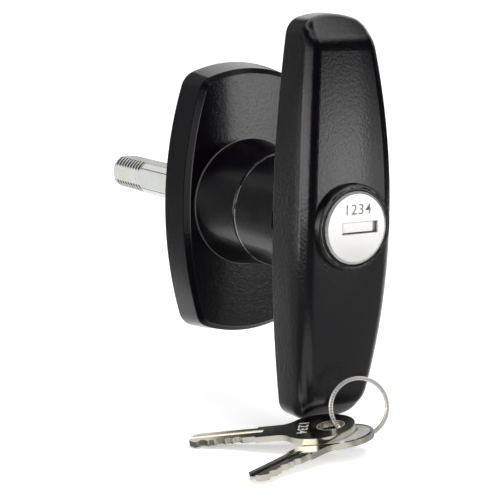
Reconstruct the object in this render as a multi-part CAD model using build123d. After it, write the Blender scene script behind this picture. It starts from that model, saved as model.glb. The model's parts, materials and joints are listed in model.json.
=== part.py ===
from build123d import *
import math
import os

# T-handle lock for the rear door of a truck cap. All sizes are in millimetres.
# Origin: centre of the base's mounting plane, on the spindle axis.
# +Z is up along the grip, the lock face looks towards -Y, the spindle runs towards +Y.
# A station is a distance in front of the mounting plane, so station 30 lies at Y = -30.

# Cuts run past the surface that they open by this much
through = 1.0
# Places closer than this count as one, and so do directions whose cosine is above the second value
near = 0.01
parallel = 0.99

# Base: a hollow casting with a flared collar
base_half_width = 25.1
base_half_height = 44.3
base_side_bow = 6.7
base_end_bow = 4.0
base_corner_r = 6.9
base_depth = 11.1
base_draft = 8.0
base_edge_chamfer = 1.6
base_wall = 3.6
base_face_thickness = 2.8
rib_thickness = 2.0
rib_depth = 5.5
collar_root_r = 20.5
collar_mid_r = 19.0
collar_end_r = 18.0
collar_end = 29.9
collar_edge_r = 0.3
journal_bore_r = 13.0
sleeve_r = 16.6
sleeve_back = 6.5

# Screw bosses: the lock is held by screws from inside the door
screw_spacing_x = 25.4
screw_spacing_z = 63.5
screw_boss_r = 4.3
screw_hole_r = 1.9
screw_hole_depth = 8.0

# Gasket in a groove of the rim
gasket_inset = 0.9
gasket_width = 1.8
gasket_depth = 1.3
gasket_clearance = 0.05

# Grip
grip_half_width = 16.25
grip_half_length = 62.5
grip_side_bow = 4.9
grip_end_bow = 2.6
grip_corner_r = 6.1
grip_front = 67.7
grip_thickness = 20.2
grip_back = grip_front - grip_thickness
grip_back_bow = 1.6
grip_crown = 5.1
grip_brow_set_back = 7.8
grip_end_wall = 7.2
grip_brow_r = 9.2
grip_edge_r = 3.9
grip_back_edge_r = 0.8
grip_rim_margin = 1.0

# Neck and hub of the handle
parting_gap = 0.2
neck_root_r = 17.9
neck_top_r = 16.5
neck_edge_r = 0.3
neck_overlap = 0.4
neck_front = grip_back + grip_back_bow + neck_overlap
journal_clearance = 0.05
stub_r = 10.5
stub_flat = 9.2
stub_step = 6.7
stub_end = 1.6

# Raised seat round the lock
seat_root_r = 13.2
seat_top_r = 13.0
seat_rise = 1.95
seat_front = grip_front + seat_rise
seat_edge_r = 0.35

# Lock body: its stations follow the seat
face_r = 11.0
face_rise = 0.9
face_front = seat_front + face_rise
face_thickness = 0.6
face_bevel_width = 0.75
face_bevel_depth = 0.35
face_skirt = 0.55
face_skirt_depth = 2.2
lock_clearance = 0.05
plug_r = 6.5
plug_head_front = face_front - face_thickness
plug_head_thickness = 5.5
plug_length = 29.7
plug_back = face_front - plug_length
bezel_r = 12.3
bezel_rise = 0.2
bezel_front = seat_front + bezel_rise
bezel_depth = 7.2
bezel_back = bezel_front - bezel_depth
bezel_edge_r = 0.35
shell_r = 9.0
plug_overhang = 2.5
shell_back = plug_back + plug_overhang
head_gap = 0.15
seat_floor_gap = 0.1
plug_end_gap = 1.0
lock_bore_back = plug_back - plug_end_gap

# Key slot, dust shutter and its pin
window_width = 12.6
window_height = 3.4
window_offset = 1.3
shutter_thickness = 0.45
shutter_margin = 0.25
shutter_side_gap = 0.2
shutter_swing = 75.0
shutter_pin_r = 0.4
shutter_barrel_r = 0.75
shutter_pin_clearance = 0.03
shutter_hinge_z = 2.45
shutter_hinge_set_back = 0.85
shutter_spring_length = 1.8
shutter_spring_gap = 0.15
shutter_pin_seat = 1.3
pocket_floor = 0.4
pocket_margin = 0.2
keyway_width = 7.8
keyway_height = 2.3
keyway_end_wall = 5.0
keyway_back = plug_back + keyway_end_wall

# Wafers
wafer_count = 5
wafer_set_back = 9.7
wafer_first = face_front - wafer_set_back
wafer_pitch = 2.7
wafer_thickness = 1.1
wafer_height = 7.2
wafer_travel = 0.9
wafer_window_width = 7.9
wafer_window_height = 2.5
wafer_clearance = 0.08
broach_depth = 0.5
broach_clearance = 0.28
wafer_spring_r = 0.45
wafer_spring_length = 1.6
wafer_spring_offset = 1.1

# Plug clip
clip_groove_r = 5.4
clip_r = 8.0
clip_set_in = 1.2
clip_back = plug_back + clip_set_in
clip_thickness = 0.8
clip_mouth = 6.0
clip_clearance = 0.05

# Locking bolt, driven by a crank on the plug's tail: it slides level behind the neck
bolt_heading = -90.0
bolt_width = 8.4
bolt_thickness = 5.3
bolt_cover = 2.3
bolt_front = collar_end - bolt_cover
bolt_back = bolt_front - bolt_thickness
bolt_foot = 4.2
bolt_tip = 12.2
bolt_clearance = 0.06
notch_margin = 0.3
crank_r = 2.2
crank_pin_r = 0.9
crank_clearance = 0.14
crank_start = -45.0
bolt_travel = 2 * crank_r * math.sin(math.radians(-crank_start))
tail_side = 4.4
tail_socket_depth = 4.5
tail_socket_front = plug_back + tail_socket_depth
tail_end_gap = 0.1
tail_flange_r = 5.6
tail_flange_thickness = 2.7
tail_flange_gap = 0.6
tail_flange_back = bolt_front + tail_flange_gap
tail_flange_front = tail_flange_back + tail_flange_thickness
tail_bore_r = 6.3
tail_bore_gap = 0.7
tail_bore_back = bolt_back - tail_bore_gap
crank_pin_end_gap = 0.5
crank_pin_back = bolt_back + crank_pin_end_gap

# Hub seal, washers and retaining ring
seal_width = 1.7
seal_edge = 0.4
seal_station = 18.6
seal_gap = 0.3
seal_groove_clearance = 0.05
disc_spring_inner_r = 10.8
disc_spring_outer_r = 15.4
disc_spring_thickness = 0.45
disc_spring_rise = 0.6
stop_washer_r = 15.4
stop_washer_front = 5.25
stop_washer_thickness = 1.5
stop_tab_reach = 19.4
stop_tab_width = 5.0
stop_gap = 0.15
stop_lug_width = 4.5
stop_lug_inner = 16.9
stop_lug_outer = 20.4
stop_lug_back = 3.3
washer_clearance = 0.1
snap_groove_r = 9.6
snap_ring_r = 12.3
snap_ring_thickness = 1.1
snap_ring_front = 3.55
snap_ring_mouth = 5.0
snap_ring_clearance = 0.05
snap_ear_r = 1.7
snap_ear_hole_r = 0.65
snap_ear_offset = 1.5
snap_ear_rise = 0.6

# Spindle and its cross pin
spindle_side = 10.6
spindle_corner_r = 6.3
spindle_tip = 72.3
spindle_front = 17.2
spindle_tip_chamfer = 1.3
socket_clearance = 0.05
cross_pin_r = 1.45
cross_pin_bore_r = 0.8
cross_pin_half_length = 12.3
cross_pin_station = 11.5
cross_pin_slit = 0.5
cross_pin_clearance = 0.03

# Keys and ring, lying in front of the grip's lower end
key_length = 50.5
key_bow_r = 10.8
key_hole_r = 4.05
key_hole_from_end = 7.3
key_thickness = 1.8
key_blade_width = 7.4
key_blade_length = 20.5
key_neck_width = 9.2
key_shoulder_r = 5.0
key_tip_chamfer = 1.85
key_groove_width = 2.2
key_groove_depth = 0.5
key_groove_offset = 0.8
key_groove_run_out = 2.0
key_cuts = (1.3, 0.6, 1.5, 0.9, 1.1)
key_cut_pitch = 2.7
key_cut_first = 4.2
key_cut_flat = 1.0
ring_mean_r = 8.75
ring_wire_r = 0.63
ring_lean = 22.3
ring_twist = 9.9
set_sideways = 1.42
set_stand_off = 4.61
set_above_end = 7.8
set_heading = -32.6
set_tilt = 10.0
key_a_hole = (-8.53, -5.12, -4.62)
key_a_turn = -5.95
key_a_pitch = 9.78
key_a_roll = -5.72
key_b_hole = (-4.2, -4.33, -6.8)
key_b_turn = 51.09
key_b_pitch = -2.59
key_b_roll = -14.46


def at(station):
    return Plane.XZ.offset(station)


def disc(radius, back, front):
    return extrude(at(back) * Circle(radius), front - back)


def cone(back_r, front_r, back, front):
    profile = Polygon((0, -back), (back_r, -back), (front_r, -front), (0, -front), align=None)
    return revolve(profile, Axis.Y)


def bar(width, height, back, front, x=0.0, z=0.0):
    return extrude(at(back) * Pos(x, z) * Rectangle(width, height), front - back)


def rod_across(radius, length, station, x=0.0, z=0.0):
    return Pos(x, -station, z) * Rot(0, 90, 0) * Cylinder(radius, length)


def rim_at(shape, station):
    return shape.edges().filter_by(lambda edge: abs(edge.center().Y + station) < near)


def turned(points):
    # points are (radius, station), revolved about the spindle axis
    outline = Polygon(*[(radius, -station) for radius, station in points], align=None)
    return revolve(outline, Axis.Y)


def bow_radius(half_chord, bow):
    return (half_chord ** 2 + bow ** 2) / (2 * bow)


def bowed_outline(half_width, half_height, side_bow, end_bow, corner_r, inset=0.0):
    # four arcs with rounded corners: an inset outline keeps the arcs' centres
    side_r = bow_radius(half_height - end_bow, side_bow)
    end_r = bow_radius(half_width - side_bow, end_bow)
    side_centre = half_width - side_r
    end_centre = half_height - end_r
    apart = math.hypot(side_centre, end_centre)
    along = ((side_r - inset) ** 2 - (end_r - inset) ** 2 + apart ** 2) / (2 * apart)
    across = math.sqrt((side_r - inset) ** 2 - along ** 2)
    x = side_centre + (along * -side_centre - across * end_centre) / apart
    z = (along * end_centre - across * side_centre) / apart
    side_x = half_width - inset
    end_z = half_height - inset
    edges = [
        ThreePointArc((x, -z), (side_x, 0), (x, z)),
        ThreePointArc((x, z), (0, end_z), (-x, z)),
        ThreePointArc((-x, z), (-side_x, 0), (-x, -z)),
        ThreePointArc((-x, -z), (0, -end_z), (x, -z)),
    ]
    face = make_face(edges)
    return fillet(face.vertices(), corner_r - inset)


def base_outline(inset=0.0):
    return bowed_outline(
        base_half_width, base_half_height, base_side_bow, base_end_bow, base_corner_r, inset
    )


def base_block(inset, depth, edge):
    # drafted walls, with a bevel of the given size round the front
    wall_end = depth - edge
    drafted = inset + wall_end * math.tan(math.radians(base_draft))
    block = loft([at(0) * base_outline(inset), at(wall_end) * base_outline(drafted)], ruled=True)
    if edge == 0.0:
        return block
    bevel = loft([at(wall_end) * base_outline(drafted), at(depth) * base_outline(drafted + edge)], ruled=True)
    return block + bevel


def screw_places():
    return [
        (sx * screw_spacing_x / 2, sz * screw_spacing_z / 2)
        for sx in (-1, 1)
        for sz in (-1, 1)
    ]


def collar():
    # concave flare from the base's face to the parting line
    middle = (base_depth + collar_end) / 2
    flare = ThreePointArc((collar_root_r, -base_depth), (collar_mid_r, -middle), (collar_end_r, -collar_end))
    inside = base_depth - base_face_thickness
    rest = Polyline(
        (collar_end_r, -collar_end),
        (journal_bore_r, -collar_end),
        (journal_bore_r, -inside),
        (collar_root_r, -inside),
        (collar_root_r, -base_depth),
    )
    body = revolve(make_face([flare] + rest.edges()), Axis.Y)
    rim = rim_at(body, collar_end).sort_by(SortBy.RADIUS)[-1]
    return chamfer(rim, collar_edge_r)


def bolt_notch(direction):
    # open at the parting line, so that the casting draws
    width = bolt_width + 2 * notch_margin
    back = bolt_back - notch_margin
    reach = bolt_tip + bolt_travel + notch_margin
    cut = bar(width, reach, back, collar_end + through, z=reach / 2)
    return Rot(0, direction, 0) * cut


def stop_lug(direction, side):
    # one lug beside the washer's tab, at either end of the handle's quarter turn
    offset_z = side * (stop_tab_width / 2 + stop_gap + stop_lug_width / 2)
    length = stop_lug_outer - stop_lug_inner
    middle = (stop_lug_inner + stop_lug_outer) / 2
    lug = bar(length, stop_lug_width, stop_lug_back, base_depth - through, x=-middle, z=offset_z)
    return Rot(0, direction, 0) * lug


def base_ribs():
    back = base_depth - base_face_thickness - rib_depth
    front = base_depth - through
    ribs = bar(rib_thickness, 2 * base_half_height, back, front)
    for z in (-screw_spacing_z / 2, 0, screw_spacing_z / 2):
        ribs += bar(2 * base_half_width, rib_thickness, back, front, z=z)
    return ribs - disc(stop_lug_outer + through, -through, base_depth - base_face_thickness)


def base_plate():
    body = base_block(0.0, base_depth, base_edge_chamfer)
    hollow = base_block(base_wall, base_depth - base_face_thickness, 0.0)
    body = body - hollow
    body = body + (base_ribs() & hollow)
    for x, z in screw_places():
        body = body + extrude(at(0) * Pos(x, z) * Circle(screw_boss_r), base_depth - through)
    body = body + collar() + disc(sleeve_r, sleeve_back, base_depth)
    body = body + stop_lug(0, -1) + stop_lug(90, 1)
    body = body - disc(journal_bore_r, -through, collar_end + through)
    body = body - bolt_notch(bolt_heading) - bolt_notch(bolt_heading + 90)
    for x, z in screw_places():
        body = body - extrude(at(0) * Pos(x, z) * Circle(screw_hole_r), screw_hole_depth)
    return body - gasket_band(0.0)


def gasket_band(clearance):
    outer = base_outline(gasket_inset + clearance)
    inner = base_outline(gasket_inset + gasket_width - clearance)
    return extrude(at(0) * (outer - inner), gasket_depth - clearance)


def base_gasket():
    return gasket_band(gasket_clearance)


def grip():
    outline = bowed_outline(grip_half_width, grip_half_length, grip_side_bow, grip_end_bow, grip_corner_r)
    block = extrude(at(grip_back - through) * outline, grip_thickness + through)
    brow = -(grip_front - grip_crown)
    half = grip_half_length - grip_brow_set_back
    end_y = -(grip_back + grip_end_wall)
    far = grip_half_length + through / 2
    crown = ThreePointArc((brow, -half), (-grip_front, 0), (brow, half))
    hollow = ThreePointArc((-grip_back, far), (-grip_back - grip_back_bow, 0), (-grip_back, -far))
    upper = Polyline((brow, half), (end_y, far), (-grip_back, far))
    lower = Polyline((-grip_back, -far), (end_y, -far), (brow, -half))
    side_view = make_face([crown] + upper.edges() + [hollow] + lower.edges())
    side_view = fillet(side_view.vertices().filter_by(lambda v: abs(v.X - brow) < near), grip_brow_r)
    body = block & extrude(Plane.YZ * side_view, grip_half_width + through, both=True)
    back_rim = body.faces().sort_by(Axis.Y)[-1].edges()
    body = fillet(back_rim, grip_back_edge_r)
    return fillet(body.edges().filter_by(on_front_rim), grip_edge_r)


def on_front_rim(edge):
    # the edge between the crowned front and the walls, without seams across the front
    centre = edge.center()
    if centre.Y > -(grip_back + grip_back_bow + through):
        return False
    along_y = abs(edge.tangent_at(0.5).Y) > parallel
    across = abs(centre.X) < grip_rim_margin and abs(centre.Z) < grip_half_length - grip_rim_margin
    return not along_y and not across


def hub():
    journal_r = journal_bore_r - journal_clearance
    shoulder = collar_end + parting_gap
    neck = cone(neck_root_r, neck_top_r, shoulder, neck_front)
    neck = chamfer(rim_at(neck, shoulder), neck_edge_r)
    journal = disc(journal_r, stub_step, shoulder + through)
    stub = disc(stub_r, stub_end, stub_step + through)
    stub = stub & bar(2 * stub_flat, 4 * stub_r, stub_end, stub_step + through)
    return neck + journal + stub


def lock_seat():
    profile = [
        (0, bezel_back),
        (seat_root_r, bezel_back),
        (seat_root_r, grip_front - through / 2),
        (seat_top_r, seat_front),
        (0, seat_front),
    ]
    seat = turned(profile)
    return fillet(rim_at(seat, seat_front), seat_edge_r)


def handle():
    body = grip() + hub() + lock_seat()
    body = body - disc(bezel_r + lock_clearance, bezel_back - seat_floor_gap, seat_front + through)
    body = body - disc(shell_r + lock_clearance, lock_bore_back, bezel_back)
    body = body - disc(tail_bore_r, tail_bore_back, lock_bore_back + through)
    body = body - bolt_slot()
    socket = spindle_side + 2 * socket_clearance
    body = body - bar(socket, socket, 0, spindle_front + socket_clearance)
    body = body - rod_across(cross_pin_r + cross_pin_clearance, 4 * cross_pin_half_length, cross_pin_station)
    return body - seal_groove() - snap_groove()


def bolt_slot():
    height = bolt_foot + bolt_clearance + journal_bore_r + through
    width = bolt_width + 2 * bolt_clearance
    slot_z = height / 2 - bolt_foot - bolt_clearance
    slot = bar(width, height, bolt_back - bolt_clearance, bolt_front + bolt_clearance, z=slot_z)
    return Rot(0, bolt_heading, 0) * slot


def seal_inner_r():
    return journal_bore_r - seal_gap - seal_width


def seal_groove():
    half = seal_width / 2 + seal_groove_clearance
    outside = disc(journal_bore_r + through, seal_station - half, seal_station + half)
    core = disc(seal_inner_r() - seal_groove_clearance, seal_station - 2 * half, seal_station + 2 * half)
    return outside - core


def snap_groove():
    back = snap_ring_front - snap_ring_thickness - snap_ring_clearance
    front = snap_ring_front + snap_ring_clearance
    outside = disc(stub_r + through, back, front)
    return outside - disc(snap_groove_r, back - through, front + through)


def broaches(radius, back, front):
    # four ways, so that the wafers can drop at either end of the key's quarter turn
    reach = radius + broach_depth + wafer_travel
    width = wafer_height + 2 * broach_clearance
    return bar(2 * reach, width, back, front) + bar(width, 2 * reach, back, front)


def lock_housing():
    bore_r = plug_r + lock_clearance
    recess_r = face_r + head_gap
    floor = head_back() - head_gap
    body = disc(bezel_r, bezel_back, bezel_front)
    body = fillet(rim_at(body, bezel_front), bezel_edge_r)
    body = body + disc(shell_r, shell_back, bezel_back + through)
    body = body - disc(recess_r, floor, bezel_front + through)
    body = body - disc(bore_r, shell_back - through, floor + through)
    last = wafer_station(wafer_count - 1) - wafer_thickness
    first = wafer_first + wafer_thickness
    cut = broaches(plug_r, last, first) & disc(plug_r + wafer_travel + broach_depth / 2, last, first)
    return body - cut


def wafer_station(index):
    return wafer_first - index * wafer_pitch


def head_back():
    return plug_head_front - plug_head_thickness


def shutter_axis_station():
    return plug_head_front - shutter_hinge_set_back


def shutter_rod(radius, length):
    return rod_across(radius, length, shutter_axis_station(), window_offset, shutter_hinge_z)


def shutter_pocket():
    back = head_back() + pocket_floor
    width = window_width + 2 * (shutter_side_gap + pocket_margin)
    top = shutter_hinge_z + shutter_barrel_r + pocket_margin
    bottom = -window_height / 2 - pocket_margin
    return bar(width, top - bottom, back, plug_head_front + through, window_offset, (top + bottom) / 2)


def lock_plug():
    skirt_r = face_r - face_skirt - lock_clearance
    lip_back = face_front - face_skirt_depth - lock_clearance
    body = disc(face_r, head_back(), lip_back) + disc(skirt_r, head_back(), plug_head_front)
    body = body + disc(plug_r, plug_back, head_back() + through)
    body = body - shutter_pocket()
    body = body - bar(keyway_width, keyway_height, keyway_back, head_back() + through)
    pin_length = window_width + 2 * shutter_pin_seat
    body = body - shutter_rod(shutter_pin_r + shutter_pin_clearance, pin_length + 2 * lock_clearance)
    for index in range(wafer_count):
        middle = wafer_station(index)
        half = wafer_thickness / 2 + wafer_clearance
        body = body - bar(4 * plug_r, wafer_height + 2 * wafer_clearance, middle - half, middle + half)
        pocket_length = wafer_spring_length + 2 * lock_clearance
        body = body - wafer_spring(index, wafer_spring_r + lock_clearance, pocket_length)
    clip_front = clip_back + clip_thickness
    groove = disc(plug_r + through, clip_back - clip_clearance, clip_front + clip_clearance)
    body = body - (groove - disc(clip_groove_r, plug_back, face_front))
    socket = tail_side + 2 * lock_clearance
    return body - bar(socket, socket, plug_back - through, tail_socket_front)


def wafer_spring(index, radius, length):
    # beside each wafer, in a pocket of the plug
    return rod_across(radius, length, wafer_station(index), z=wafer_height / 2 + wafer_spring_offset)


def wafer(index):
    middle = wafer_station(index)
    back = middle - wafer_thickness / 2
    front = middle + wafer_thickness / 2
    plate = bar(4 * plug_r, wafer_height, back, front) & disc(plug_r - lock_clearance, back, front)
    return plate - bar(wafer_window_width, wafer_window_height, back - through, front + through)


def wafer_springs():
    springs = [wafer_spring(index, wafer_spring_r, wafer_spring_length) for index in range(wafer_count)]
    return Compound(children=[spring.solid() for spring in springs])


def plug_face_cap():
    back = face_front - face_skirt_depth
    bevel_back = face_front - face_bevel_depth
    cap = disc(face_r, back, bevel_back)
    cap = cap + cone(face_r, face_r - face_bevel_width, bevel_back, face_front)
    cap = cap - disc(face_r - face_skirt, back - through, plug_head_front)
    return cap - bar(window_width, window_height, back, face_front + through, window_offset)


def dust_shutter():
    station = shutter_axis_station()
    height = shutter_hinge_z + window_height / 2 - shutter_margin
    width = window_width + 2 * shutter_side_gap
    front = station + shutter_thickness / 2
    plate = bar(width, height, front - shutter_thickness, front, window_offset, shutter_hinge_z - height / 2)
    gap = shutter_rod(shutter_barrel_r + shutter_spring_gap, shutter_spring_length + 2 * shutter_spring_gap)
    hole = shutter_rod(shutter_pin_r + shutter_pin_clearance, width + through)
    return (plate + shutter_rod(shutter_barrel_r, width)) - gap - hole


def shutter_pin():
    return shutter_rod(shutter_pin_r, window_width + 2 * shutter_pin_seat)


def shutter_spring():
    coil = shutter_rod(shutter_barrel_r, shutter_spring_length)
    return coil - shutter_rod(shutter_pin_r + shutter_pin_clearance, shutter_spring_length + through)


def plug_clip():
    front = clip_back + clip_thickness
    inside = disc(clip_groove_r + clip_clearance, clip_back - through, front + through)
    mouth = bar(clip_mouth, 2 * clip_r, clip_back - through, front + through, z=-clip_r)
    return disc(clip_r, clip_back, front) - inside - mouth


def plug_tail():
    crank = math.radians(crank_start)
    x = -crank_r * math.cos(crank)
    z = crank_r * math.sin(crank)
    tail = bar(tail_side, tail_side, tail_flange_back, tail_socket_front - tail_end_gap)
    tail = tail + disc(tail_flange_r, tail_flange_back, tail_flange_front)
    pin_length = tail_flange_front - crank_pin_back
    pin = extrude(at(crank_pin_back) * Pos(x, z) * Circle(crank_pin_r), pin_length)
    return tail + Rot(0, bolt_heading, 0) * pin


def lock_bolt():
    height = bolt_foot + bolt_tip
    bolt = bar(bolt_width, height, bolt_back, bolt_front, z=height / 2 - bolt_foot)
    reach = crank_pin_r + crank_clearance
    near = crank_r * math.cos(math.radians(crank_start)) - reach
    far = crank_r + reach
    slot_z = crank_r * math.sin(math.radians(crank_start))
    middle = -(near + far) / 2
    slot = bar(far - near, 2 * reach, bolt_back - through, bolt_front + through, middle, slot_z)
    return Rot(0, bolt_heading, 0) * (bolt - slot)


def hub_seal():
    half = seal_width / 2
    ring = disc(seal_inner_r() + seal_width, seal_station - half, seal_station + half)
    ring = ring - disc(seal_inner_r(), seal_station - seal_width, seal_station + seal_width)
    return chamfer(ring.edges().filter_by(GeomType.CIRCLE), seal_edge)


def disc_spring():
    front = sleeve_back - washer_clearance
    back = front - disc_spring_rise
    profile = [
        (disc_spring_inner_r, back - disc_spring_thickness),
        (disc_spring_inner_r, back),
        (disc_spring_outer_r, front),
        (disc_spring_outer_r, front - disc_spring_thickness),
    ]
    return turned(profile)


def stop_washer():
    back = stop_washer_front - stop_washer_thickness
    body = disc(stop_washer_r, back, stop_washer_front)
    body = body + bar(stop_tab_reach, stop_tab_width, back, stop_washer_front, x=-stop_tab_reach / 2)
    hole = disc(stub_r + washer_clearance, back - through, stop_washer_front + through)
    flats = bar(2 * (stub_flat + washer_clearance), 4 * stub_r, back - through, stop_washer_front + through)
    return body - (hole & flats)


def retaining_ring():
    back = snap_ring_front - snap_ring_thickness
    front = snap_ring_front
    ring = disc(snap_ring_r, back, front)
    ears = [(side * (snap_ring_mouth / 2 + snap_ear_offset), snap_ear_rise - snap_ring_r) for side in (-1, 1)]
    for x, z in ears:
        ring = ring + extrude(at(back) * Pos(x, z) * Circle(snap_ear_r), front - back)
    ring = ring - disc(snap_groove_r + snap_ring_clearance, back - through, front + through)
    ring = ring - bar(snap_ring_mouth, 2 * snap_ring_r, back - through, front + through, z=-snap_ring_r)
    for x, z in ears:
        ring = ring - extrude(at(back - through) * Pos(x, z) * Circle(snap_ear_hole_r), 4 * through)
    return ring


def spindle():
    # square bar with broad round corners and a bevelled tip
    points = [
        (0, spindle_front),
        (spindle_corner_r, spindle_front),
        (spindle_corner_r, spindle_tip_chamfer - spindle_tip),
        (spindle_corner_r - spindle_tip_chamfer, -spindle_tip),
        (0, -spindle_tip),
    ]
    body = bar(spindle_side, spindle_side, -spindle_tip, spindle_front) & turned(points)
    return body - rod_across(cross_pin_r + cross_pin_clearance, 4 * cross_pin_half_length, cross_pin_station)


def cross_pin():
    length = 2 * cross_pin_half_length
    pin = Cylinder(cross_pin_r, length) - Cylinder(cross_pin_bore_r, length + through)
    pin = pin - Pos(cross_pin_r, 0, 0) * Box(2 * cross_pin_r, cross_pin_slit, length + through)
    return Pos(0, -cross_pin_station, 0) * Rot(0, 90, 0) * pin


def key():
    # flat key with its hole at the origin and its blade towards -X
    bow_x = key_hole_from_end - key_bow_r
    tip = key_hole_from_end - key_length
    shoulder = tip + key_blade_length
    bow = Pos(bow_x, 0) * Circle(key_bow_r)
    neck = Pos((shoulder + bow_x) / 2, 0) * Rectangle(bow_x - shoulder, key_neck_width)
    outline = bow + neck
    throat = outline.vertices().filter_by(lambda v: shoulder + through < v.X < bow_x)
    outline = fillet(throat, key_shoulder_r)
    blade = Pos((tip + shoulder + through) / 2, 0) * Rectangle(shoulder + through - tip, key_blade_width)
    ends = blade.vertices().filter_by(lambda v: v.X < tip + through)
    blade = chamfer(ends, key_tip_chamfer)
    outline = outline + blade - Circle(key_hole_r)
    for index, depth in enumerate(key_cuts):
        x = tip + key_cut_first + index * key_cut_pitch
        edge = -key_blade_width / 2
        half = key_cut_flat / 2
        outline = outline - Polygon(
            (x - half - 2 * depth, edge - depth),
            (x - half, edge + depth),
            (x + half, edge + depth),
            (x + half + 2 * depth, edge - depth),
            align=None,
        )
    body = extrude(outline, key_thickness / 2, both=True)
    groove_length = key_blade_length + key_groove_run_out + through
    groove = Box(groove_length, key_groove_width, 2 * key_groove_depth)
    for side in (-1, 1):
        place = Pos(tip + groove_length / 2 - through, key_groove_offset, side * key_thickness / 2)
        body = body - place * groove
    return body


def set_frame():
    # the set keeps its distance from the grip's front and lower end
    place = Pos(set_sideways, -(grip_front + set_stand_off), set_above_end - grip_half_length)
    return place * Rot(0, 0, set_heading) * Rot(set_tilt, 0, 0)


def key_a_frame():
    lie = Rot(0, 0, key_a_turn) * Rot(0, -key_a_pitch, 0) * Rot(key_a_roll, 0, 0)
    return set_frame() * Pos(*key_a_hole) * lie


def key_b_frame():
    lie = Rot(0, 0, key_b_turn) * Rot(0, -key_b_pitch, 0) * Rot(key_b_roll, 0, 0)
    return set_frame() * Pos(*key_b_hole) * lie


def ring_frame():
    return set_frame() * Rot(0, 0, ring_twist) * Rot(90 - ring_lean, 0, 0)


def key_ring():
    return ring_frame() * Torus(ring_mean_r, ring_wire_r)


def main():
    os.makedirs("parts", exist_ok=True)
    parts = {
        "base_plate": base_plate(),
        "base_gasket": base_gasket(),
        "handle": handle(),
        "lock_housing": lock_housing(),
        "lock_plug": lock_plug(),
        "plug_face_cap": plug_face_cap(),
        "dust_shutter": dust_shutter(),
        "shutter_pin": shutter_pin(),
        "shutter_spring": shutter_spring(),
        "wafer_springs": wafer_springs(),
        "plug_clip": plug_clip(),
        "plug_tail": plug_tail(),
        "lock_bolt": lock_bolt(),
        "hub_seal": hub_seal(),
        "disc_spring": disc_spring(),
        "stop_washer": stop_washer(),
        "retaining_ring": retaining_ring(),
        "spindle": spindle(),
        "cross_pin": cross_pin(),
        "key_a": key_a_frame() * key(),
        "key_b": key_b_frame() * key(),
        "key_ring": key_ring(),
    }
    for index in range(wafer_count):
        parts["wafer_" + str(index + 1)] = wafer(index)
    for name, shape in parts.items():
        export_step(shape, "parts/" + name + ".step")


main()
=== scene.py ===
import json
import math

import bmesh
import bpy
from mathutils import Matrix, Vector


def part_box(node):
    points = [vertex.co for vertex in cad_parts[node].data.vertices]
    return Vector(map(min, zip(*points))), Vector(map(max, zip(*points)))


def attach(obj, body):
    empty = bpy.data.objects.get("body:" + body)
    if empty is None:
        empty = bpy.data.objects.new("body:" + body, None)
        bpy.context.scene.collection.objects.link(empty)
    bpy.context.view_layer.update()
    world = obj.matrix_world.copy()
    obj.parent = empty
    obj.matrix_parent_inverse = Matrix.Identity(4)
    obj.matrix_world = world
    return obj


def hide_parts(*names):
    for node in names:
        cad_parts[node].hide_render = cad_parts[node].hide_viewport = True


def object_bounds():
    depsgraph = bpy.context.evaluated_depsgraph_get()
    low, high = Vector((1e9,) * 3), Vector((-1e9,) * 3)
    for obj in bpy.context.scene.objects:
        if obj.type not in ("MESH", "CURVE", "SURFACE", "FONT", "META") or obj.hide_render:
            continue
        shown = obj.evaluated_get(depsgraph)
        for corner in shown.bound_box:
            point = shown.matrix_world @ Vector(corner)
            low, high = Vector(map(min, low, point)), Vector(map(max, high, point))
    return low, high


# T-handle lock for the rear door of a truck cap. Units are metres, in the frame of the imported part:
# +Z up along the grip, the lock face looks towards -Y, the spindle runs towards +Y.

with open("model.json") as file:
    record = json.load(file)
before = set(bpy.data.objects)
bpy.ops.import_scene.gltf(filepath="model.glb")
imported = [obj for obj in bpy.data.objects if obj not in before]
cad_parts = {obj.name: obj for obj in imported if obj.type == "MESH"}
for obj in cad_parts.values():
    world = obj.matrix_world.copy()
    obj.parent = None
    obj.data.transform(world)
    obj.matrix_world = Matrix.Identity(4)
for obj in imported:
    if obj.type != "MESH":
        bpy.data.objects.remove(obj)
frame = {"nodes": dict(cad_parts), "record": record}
cad_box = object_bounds()
MM = 0.001

# The corners of a flat card or window, in order, as signs of its two half sides
CORNERS = ((-1, -1), (1, -1), (1, 1), (-1, 1))

# The view: where the camera looks and from where
VIEW_AZIMUTH = math.radians(-32.622)
VIEW_ELEVATION = math.radians(10.184)
VIEW_ROLL = math.radians(-0.915)
VIEW_DISTANCE = 0.564455
VIEW_AIM = Vector((-0.01153, -0.03, -0.012138))
LENS_MM = 129.6
SENSOR_MM = 36.0
CLIP_START = 0.01
CLIP_END = 50

# Black coat: orange peel and a finer grain. The faint crown of the grip's front and side, and the front's
# fall on its right, are slopes that only bend the mirrored light.
PEEL_SCALE = 1150
PEEL_DEPTH = 0.09 * MM
GRAIN_SCALE = 2600
GRAIN_DEPTH = 0.028 * MM
FRONT_CROWN = 2.8
FRONT_FALL_START = 3.0 * MM
FRONT_FALL = 8.0
SIDE_CROWN_START = 57.5 * MM
SIDE_CROWN = 8.0
COAT_CLOUD_SCALE = 40
COAT_COLOURS = (0.0018, 0.0011, 0.0024), (0.0028, 0.0018, 0.0035)
COAT_ROUGHNESS = (0.20, 0.25)
COAT_GLOSS = 0.5
VARNISH = 0.4
VARNISH_ROUGHNESS = 0.12
# Bare metal of the coat: real worn paint, and the painted highlights at the collar's root and the rim's
# edge
WORN_AND_HIGHLIGHT_COLOUR = (0.62, 0.61, 0.58)
WORN_AND_HIGHLIGHT_ROUGHNESS = 0.35
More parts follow.
